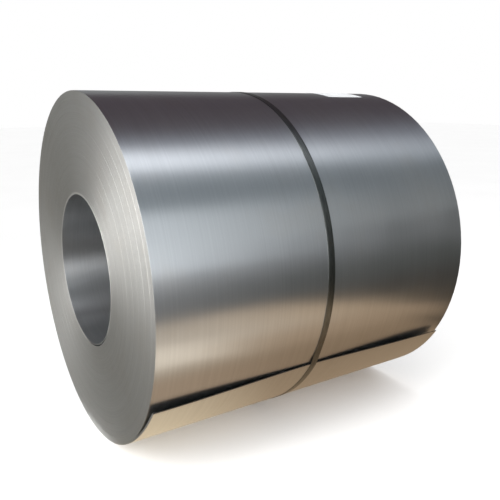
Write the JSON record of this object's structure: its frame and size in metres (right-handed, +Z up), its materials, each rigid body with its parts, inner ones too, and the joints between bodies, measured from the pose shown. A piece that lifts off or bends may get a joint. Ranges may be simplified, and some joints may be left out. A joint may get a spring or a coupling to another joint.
{
  "type": "steel coil",
  "caption": "Wound coil of bare cold-rolled steel strip lying on its side, with an open bore, a sprung outer tail, a steel strap and a blank label.",
  "frame": {"origin": "on the floor under the middle of the coil, half way along its bore", "axes": "+X along the bore, +Z up, -Y towards the free edge of the outer lap"},
  "size_m": [1.2, 1.1712, 1.1732],
  "materials": {
    "coil_steel": "bare cold-rolled strip, lightly oiled, with fine rolling lines",
    "strap_steel": "blackened and waxed steel strapping",
    "seal_steel": "dull dark crimped sheet steel",
    "label_paper": "matt white paper, blank"
  },
  "bodies": {
    "root": {"coil": "coil_steel", "strap": "strap_steel", "strap_seal": "seal_steel", "label": "label_paper"}
  },
  "joints": []
}
